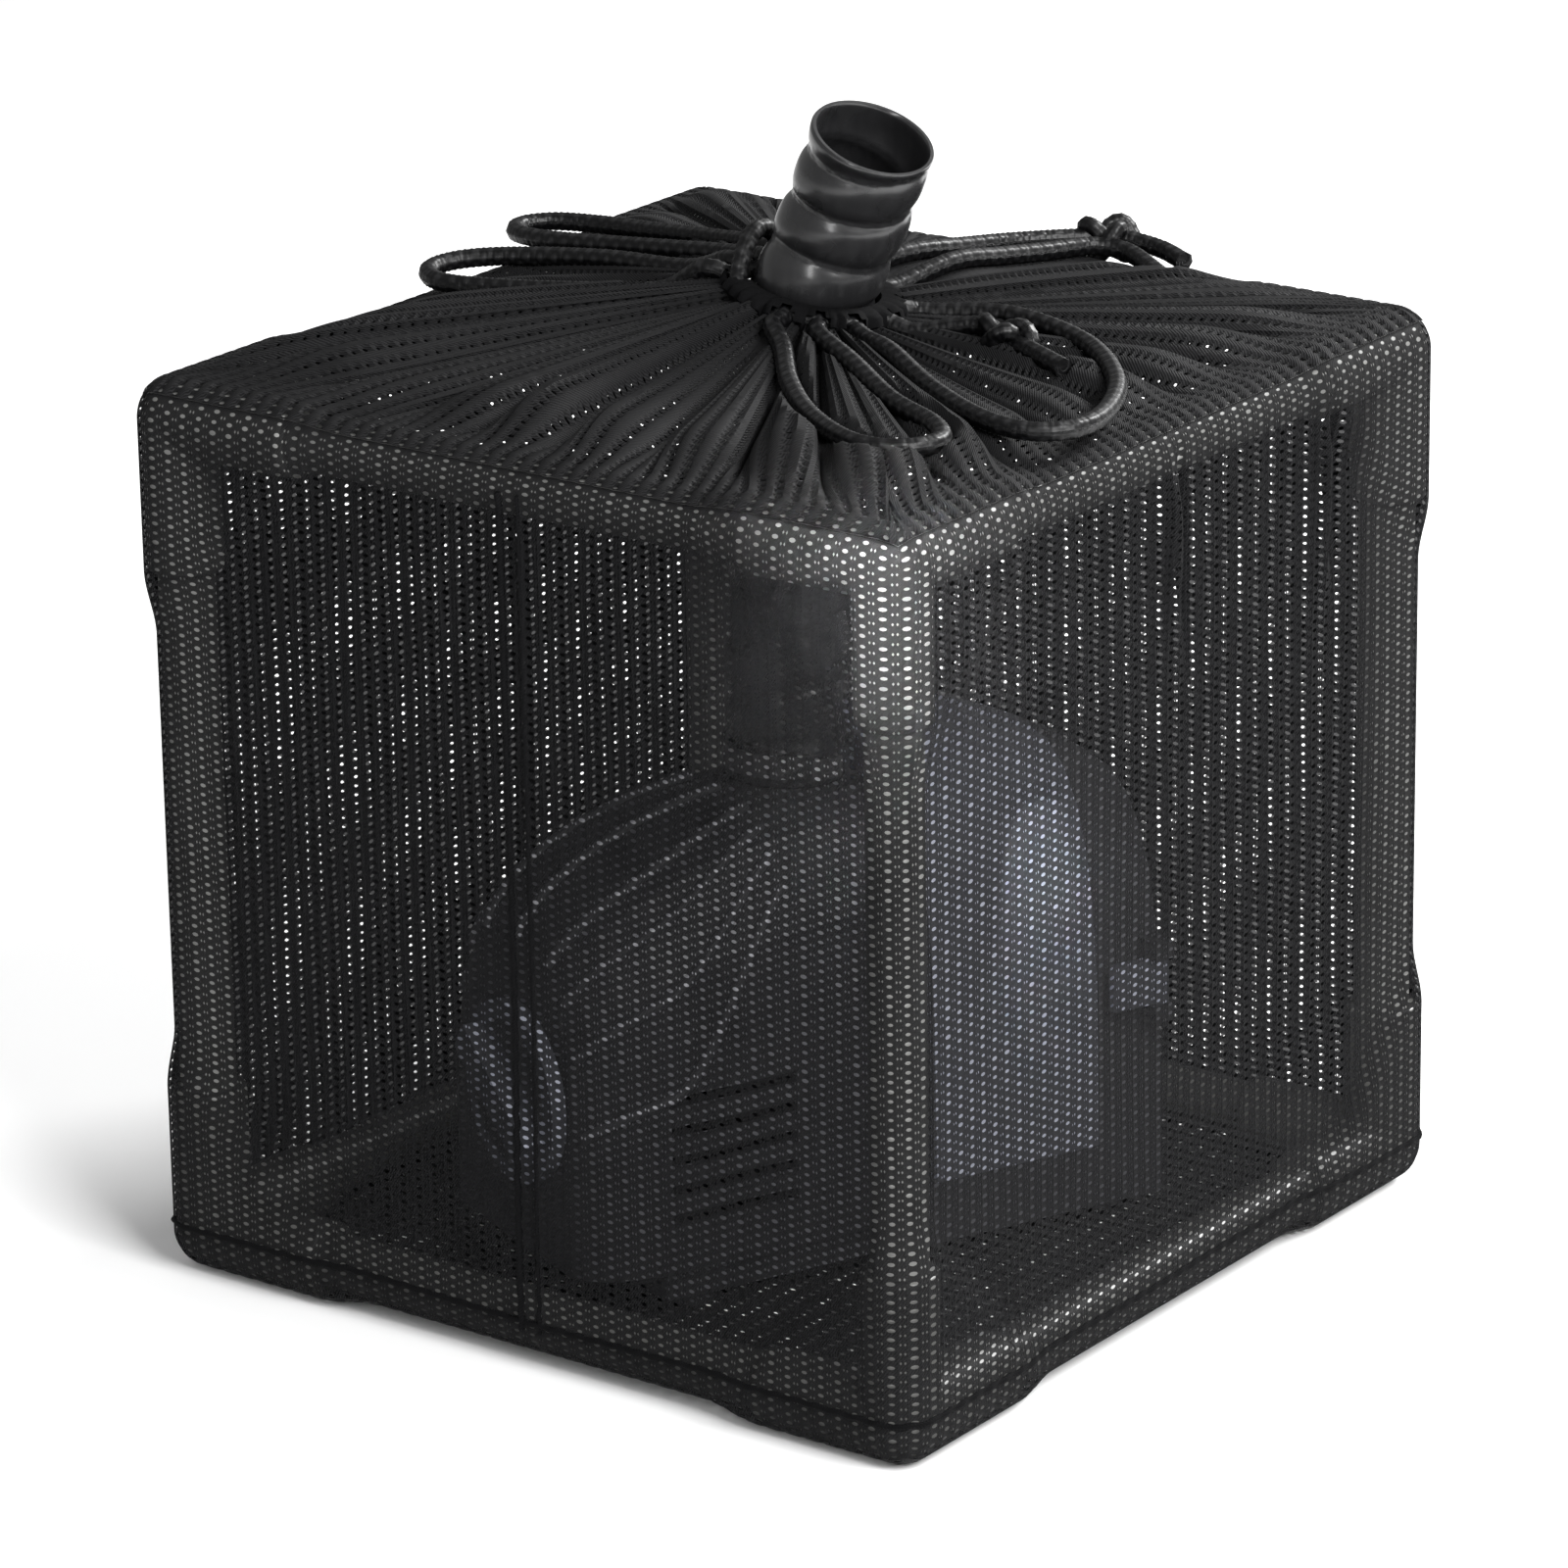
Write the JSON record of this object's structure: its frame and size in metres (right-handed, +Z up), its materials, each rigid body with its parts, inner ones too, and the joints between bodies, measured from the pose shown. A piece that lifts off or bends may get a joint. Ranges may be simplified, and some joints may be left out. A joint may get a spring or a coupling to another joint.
{
  "type": "pump cage with mesh bag",
  "caption": "Submersible pond pump in a drawstring mesh bag stretched over a push-fit plastic pipe cube, with a ribbed hose rising through the gathered neck.",
  "frame": {"origin": "under the middle of the bag's base, on the surface that it stands on", "axes": "+Z up; +X and +Y along the cage's rails, with the seamed bag wall facing -Y"},
  "size_m": [0.3514, 0.3514, 0.4417],
  "materials": {
    "pipe_plastic": "extruded white pipe",
    "fitting_plastic": "moulded white fitting",
    "mesh_cloth": "black warp-knit mesh",
    "braided_cord": "black braid",
    "hose_plastic": "black ribbed hose",
    "dark_plastic": "moulded, satin",
    "grey_plastic": "moulded, satin",
    "stainless_steel": "rolled",
    "seal_rubber": "moulded",
    "shaft_ceramic": "ground",
    "ferrite_magnet": "sintered",
    "potting_resin": "cast"
  },
  "bodies": {
    "cage": {"back_knot": "braided_cord", "back_tail_left": "braided_cord", "back_tail_right": "braided_cord", "bag_base": "mesh_cloth", "bag_top": "mesh_cloth", "bag_wall_back": "mesh_cloth", "bag_wall_front": "mesh_cloth", "bag_wall_left": "mesh_cloth", "bag_wall_right": "mesh_cloth", "base_tray": "dark_plastic", "bottom_corner_back_left": "fitting_plastic", "bottom_corner_back_right": "fitting_plastic", "bottom_corner_front_left": "fitting_plastic", "bottom_corner_front_right": "fitting_plastic", "bottom_rail_back": "pipe_plastic", "bottom_rail_front": "pipe_plastic", "bottom_rail_left": "pipe_plastic", "bottom_rail_right": "pipe_plastic", "cable_gland": "dark_plastic", "cinch_turn": "braided_cord", "front_bush": "seal_rubber", "front_knot": "braided_cord", "front_loop_large": "braided_cord", "front_loop_small": "braided_cord", "front_tail": "braided_cord", "hose": "hose_plastic", "hose_clip": "stainless_steel", "hose_tail": "dark_plastic", "intake_shell": "dark_plastic", "latch_far_pin": "stainless_steel", "latch_near_pin": "stainless_steel", "left_loop_far": "braided_cord", "left_loop_near": "braided_cord", "motor_block": "potting_resin", "motor_cover": "grey_plastic", "neck_collar": "mesh_cloth", "o_ring": "seal_rubber", "post_back_left": "pipe_plastic", "post_back_right": "pipe_plastic", "post_front_left": "pipe_plastic", "post_front_right": "pipe_plastic", "rear_bush": "seal_rubber", "rear_frame": "dark_plastic", "shaft": "shaft_ceramic", "top_corner_back_left": "fitting_plastic", "top_corner_back_right": "fitting_plastic", "top_corner_front_left": "fitting_plastic", "top_corner_front_right": "fitting_plastic", "top_rail_back": "pipe_plastic", "top_rail_front": "pipe_plastic", "top_rail_left": "pipe_plastic", "top_rail_right": "pipe_plastic", "volute": "dark_plastic", "volute_cover": "dark_plastic"},
    "rotor": {"impeller": "grey_plastic", "rotor_magnet": "ferrite_magnet"},
    "regulator": {"regulator_knob": "grey_plastic"},
    "latch_near": {"latch_near": "grey_plastic"},
    "latch_far": {"latch_far": "grey_plastic"}
  },
  "joints": [
    {"name": "rotor_spin", "type": "hinge", "parent": "cage", "child": "rotor", "pos_m": [-0.0016, -0.0037, 0.095], "axis": [0.4067, 0.9135, 0], "continuous": true},
    {"name": "regulator_turn", "type": "hinge", "parent": "cage", "child": "regulator", "pos_m": [-0.0418, -0.11858, 0.084], "axis": [-0.4067, -0.9135, 0], "range_deg": [0, 90]},
    {"name": "latch_near_swing", "type": "hinge", "parent": "cage", "child": "latch_near", "pos_m": [0.10927, 0.08158, 0.097], "axis": [0, 0, 1], "range_deg": [0, 80]},
    {"name": "latch_far_swing", "type": "hinge", "parent": "cage", "child": "latch_far", "pos_m": [-0.01241, 0.13575, 0.097], "axis": [0, 0, -1], "range_deg": [0, 80]}
  ]
}
